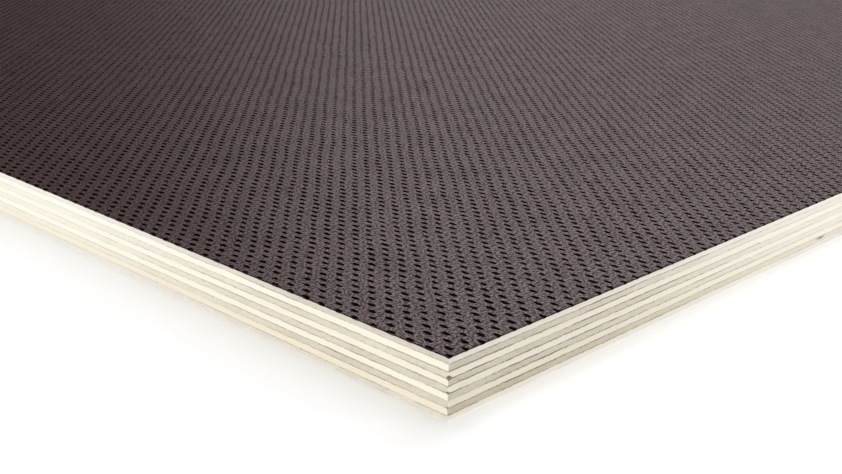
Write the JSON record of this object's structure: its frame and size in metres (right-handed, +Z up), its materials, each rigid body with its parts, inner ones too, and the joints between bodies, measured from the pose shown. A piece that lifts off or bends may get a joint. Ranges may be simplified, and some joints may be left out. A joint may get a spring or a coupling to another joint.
{
  "type": "anti-slip plywood sheet",
  "caption": "Flat rectangular plywood sheet of cross-laid pale veneers with bare sawn edges and a dark mesh-textured anti-slip film on its top face, laid as flooring or decking.",
  "frame": {"origin": "middle of the sheet's underside", "axes": "+X along the length and the face grain, +Y across the width, +Z up through the filmed face"},
  "size_m": [2.5, 1.25, 0.012],
  "materials": {
    "film": "dark brown phenolic film with a woven-mesh imprint",
    "veneer": "bare sawn birch veneer, not sealed"
  },
  "bodies": {
    "root": {"anti_slip_film": "film", "veneer_1_long_grain": "veneer", "veneer_2_cross_grain": "veneer", "veneer_3_long_grain": "veneer", "veneer_4_cross_grain": "veneer", "veneer_5_long_grain": "veneer", "veneer_6_cross_grain": "veneer", "veneer_7_long_grain": "veneer", "veneer_8_cross_grain": "veneer", "veneer_9_long_grain": "veneer"}
  },
  "joints": []
}
